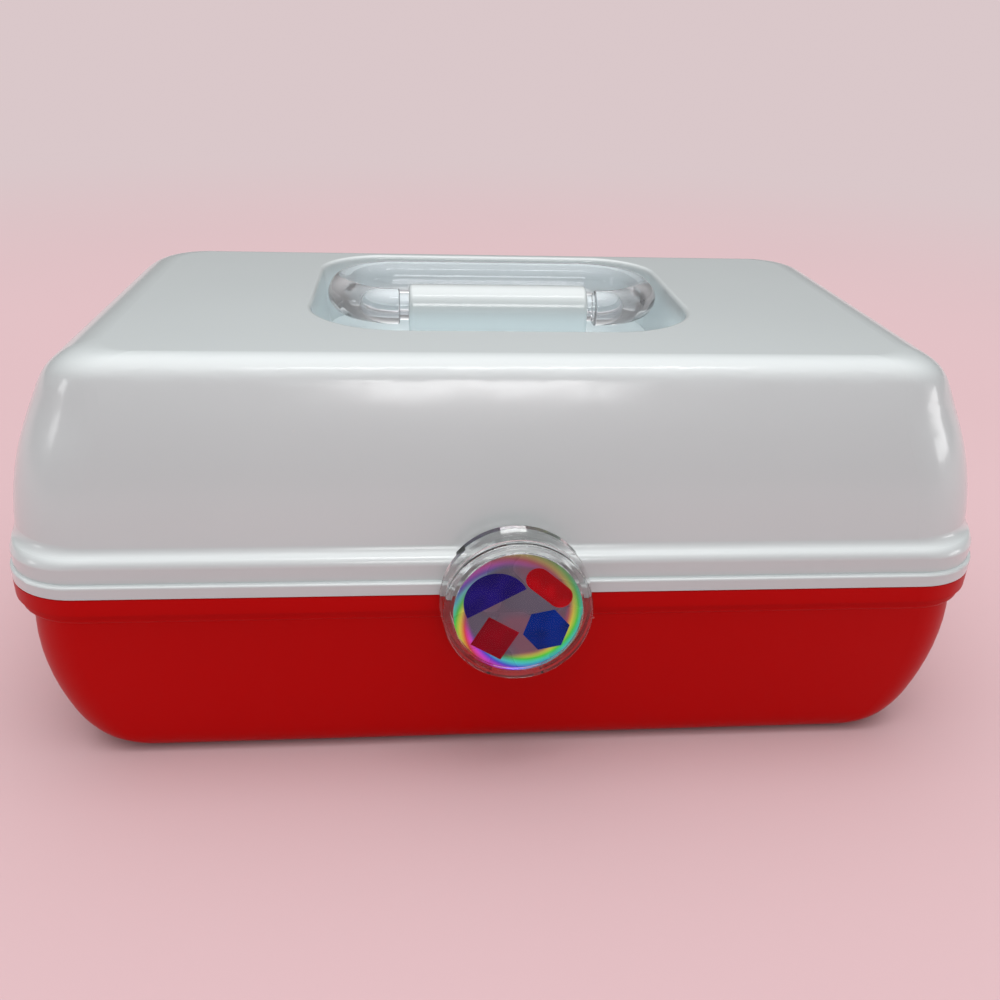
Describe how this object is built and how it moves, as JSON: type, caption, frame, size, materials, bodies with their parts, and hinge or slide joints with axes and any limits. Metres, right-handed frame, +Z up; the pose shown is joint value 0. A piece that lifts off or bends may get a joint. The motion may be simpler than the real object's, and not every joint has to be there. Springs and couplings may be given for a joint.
{
  "type": "makeup storage case",
  "caption": "Rectangular lidded storage case with rounded shoulders, clear carrying handle, clear round latch, mirror and a tray that lifts with the lid.",
  "frame": {"origin": "centre of the flat underside of the base", "axes": "+X along the case to the right, +Y to the rear where the hinge is, +Z up"},
  "size_m": [0.33, 0.2218, 0.1431],
  "materials": {
    "base_plastic": "glossy injection-moulded saturated red",
    "lid_plastic": "satin-gloss injection-moulded pale grey-mint with a faint pearl",
    "clear_plastic": "clear, polished",
    "printed_foil": "holographic foil with printed shapes",
    "tray_plastic": "pale moulded plastic",
    "arm_plastic": "white acetal, matte",
    "steel": "bright drawn steel",
    "mirror": "silvered glass"
  },
  "bodies": {
    "base": {"base_tub": "base_plastic", "hinge_pin_left": "steel", "hinge_pin_right": "steel", "latch_pin": "steel", "arm_base_stud_left": "arm_plastic", "arm_base_stud_right": "arm_plastic"},
    "lid": {"lid_shell": "lid_plastic", "lid_tray_stud_left": "arm_plastic", "lid_tray_stud_right": "arm_plastic", "mirror_frame": "tray_plastic", "mirror_glass": "mirror"},
    "tray": {"tray": "tray_plastic", "arm_tray_stud_left": "arm_plastic", "arm_tray_stud_right": "arm_plastic"},
    "arm_left": {"arm_left": "arm_plastic"},
    "arm_right": {"arm_right": "arm_plastic"},
    "handle": {"handle_bail": "clear_plastic"},
    "latch": {"latch_body": "clear_plastic", "latch_insert": "printed_foil", "latch_lens": "clear_plastic"}
  },
  "joints": [
    {"name": "lid_hinge", "type": "hinge", "parent": "base", "child": "lid", "pos_m": [0, 0.1047, 0.067], "axis": [-1, 0, 0], "range_deg": [0, 100]},
    {"name": "tray_pivot", "type": "hinge", "parent": "lid", "child": "tray", "pos_m": [0, 0.0577, 0.076], "axis": [-1, 0, 0], "range_deg": [-100, 0]},
    {"name": "arm_left_pivot", "type": "hinge", "parent": "base", "child": "arm_left", "pos_m": [0, -0.003, 0.043], "axis": [-1, 0, 0], "range_deg": [0, 100]},
    {"name": "arm_right_pivot", "type": "hinge", "parent": "base", "child": "arm_right", "pos_m": [0, -0.003, 0.043], "axis": [-1, 0, 0], "range_deg": [0, 100]},
    {"name": "handle_pivot", "type": "hinge", "parent": "lid", "child": "handle", "pos_m": [0, 0, 0.1346], "axis": [1, 0, 0], "range_deg": [0, 90]},
    {"name": "latch_pivot", "type": "hinge", "parent": "base", "child": "latch", "pos_m": [0, -0.10698, 0.05071], "axis": [1, 0, 0], "range_deg": [0, 75]}
  ],
  "couplings": [
    {"joint": "tray_pivot", "follows": "lid_hinge", "ratio": -1},
    {"joint": "arm_left_pivot", "follows": "lid_hinge", "ratio": 1},
    {"joint": "arm_right_pivot", "follows": "lid_hinge", "ratio": 1}
  ]
}
